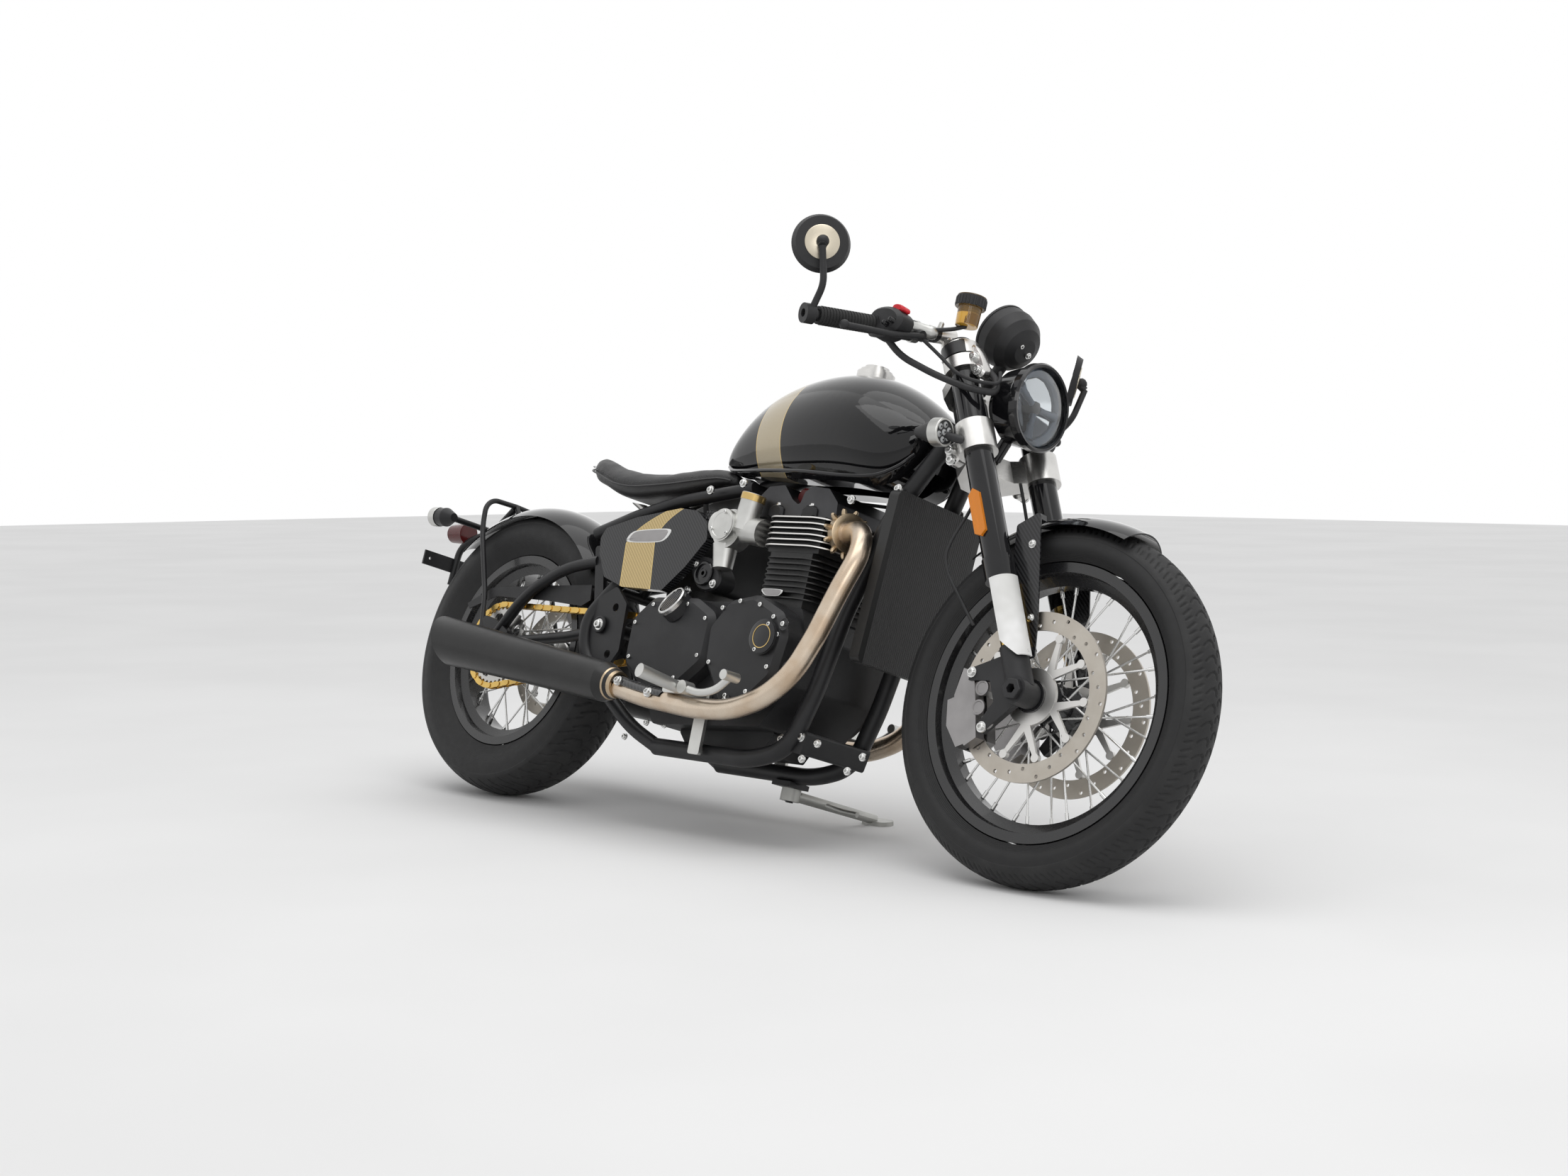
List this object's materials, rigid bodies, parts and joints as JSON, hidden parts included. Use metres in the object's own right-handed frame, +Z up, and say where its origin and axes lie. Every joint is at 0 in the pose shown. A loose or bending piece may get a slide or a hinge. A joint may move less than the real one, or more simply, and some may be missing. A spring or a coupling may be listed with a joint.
{
  "type": "motorcycle",
  "caption": "Low single-seat bobber motorcycle with a parallel-twin engine, twin pipes, wire wheels, clip-on bars and upside-down fork, leaning on its side stand.",
  "frame": {"origin": "centre of the bounding box on the ground", "axes": "+X towards the front wheel, +Y towards the rider's left, +Z up; the machine leans to its left on the side stand"},
  "size_m": [2.2311, 0.9685, 1.2127],
  "materials": {
    "tank_black": "deep gloss black with a pale gold band",
    "frame_black": "satin black powder coat",
    "cover_black": "satin black engine cover",
    "gloss_black": "gloss black",
    "satin_black": "satin black",
    "black_leather": "soft black leather with piping",
    "fin_black": "black with machined bright fin edges",
    "cast_silver": "satin clear anodised",
    "machined_silver": "machined bright",
    "titanium_grey": "hard anodised grey",
    "brushed_steel": "warm brushed steel",
    "steel": "ground steel",
    "muffler_black": "satin black ceramic",
    "gold_anodised": "gold anodised",
    "gold_chain": "gold plated roller chain",
    "carbon": "lacquered carbon weave",
    "white_guard": "white lacquer",
    "tyre_rubber": "black tyre",
    "grip_rubber": "ribbed black rubber",
    "lamp_glass": "clear lens",
    "amber_lens": "amber lens",
    "red_lens": "dark red lens",
    "smoked_pot": "smoked pot with amber fluid",
    "mirror_black": "black shell with a pale gold disc"
  },
  "bodies": {
    "frame": {"backbone": "frame_black", "cradle_tubes": "frame_black", "swing_cage": "frame_black", "cross_plate": "frame_black", "crankcase": "cover_black", "engine_covers": "cover_black", "cylinder_barrels": "fin_black", "cylinder_head": "fin_black", "cam_cover": "titanium_grey", "fuel_tank": "tank_black", "filler_cap": "machined_silver", "seat": "black_leather", "seat_bracket": "steel", "radiator": "satin_black", "rear_mudguard": "gloss_black", "mudguard_loop": "frame_black", "plate_holder": "frame_black", "tail_lamp": "red_lens", "chain_guard": "satin_black", "rear_shock": "frame_black", "airbox": "satin_black", "drive_chain": "gold_chain", "rear_caliper": "frame_black", "side_panels": "carbon", "throttle_bodies": "cast_silver", "exhaust_header_right": "brushed_steel", "muffler_right": "muffler_black", "foot_controls_right": "cast_silver", "exhaust_header_left": "brushed_steel", "muffler_left": "muffler_black", "foot_controls_left": "cast_silver"},
    "steering": {"fork_tubes": "gloss_black", "fork_stanchions": "gold_anodised", "fork_lugs": "satin_black", "fork_guards": "white_guard", "lower_clamp": "machined_silver", "upper_clamp": "machined_silver", "handlebars": "frame_black", "grips": "grip_rubber", "bar_controls": "satin_black", "mirrors": "mirror_black", "fluid_reservoir": "smoked_pot", "headlamp_bowl": "gloss_black", "headlamp_lens": "lamp_glass", "instrument_pod": "satin_black", "front_indicators": "satin_black", "reflectors": "amber_lens", "front_mudguard": "gloss_black", "mudguard_stays": "carbon", "front_calipers": "titanium_grey", "bar_hoses": "grip_rubber"},
    "front_wheel": {"front_tyre": "tyre_rubber", "front_wheel": "frame_black", "front_discs": "steel"},
    "rear_wheel": {"rear_tyre": "tyre_rubber", "rear_wheel": "frame_black", "rear_disc": "steel", "rear_sprocket": "steel"},
    "side_stand": {"side_stand": "steel"}
  },
  "joints": [
    {"name": "steering", "type": "hinge", "parent": "frame", "child": "steering", "pos_m": [0.46625, -0.00016, 0.80753], "axis": [-0.4337, 0.2662, 0.8608], "range_deg": [-34, 30]},
    {"name": "front_wheel_spin", "type": "hinge", "parent": "steering", "child": "front_wheel", "pos_m": [0.78469, -0.14931, 0.31745], "axis": [-0.032, 0.9502, -0.31], "continuous": true},
    {"name": "rear_wheel_spin", "type": "hinge", "parent": "frame", "child": "rear_wheel", "pos_m": [-0.72728, -0.15384, 0.31325], "axis": [-0.0005, 0.9553, -0.2957], "continuous": true},
    {"name": "stand_swing", "type": "hinge", "parent": "frame", "child": "side_stand", "pos_m": [0.08331, -0.11392, 0.08901], "axis": [0.0017, 0.2957, 0.9553], "range_deg": [0, 96]}
  ]
}
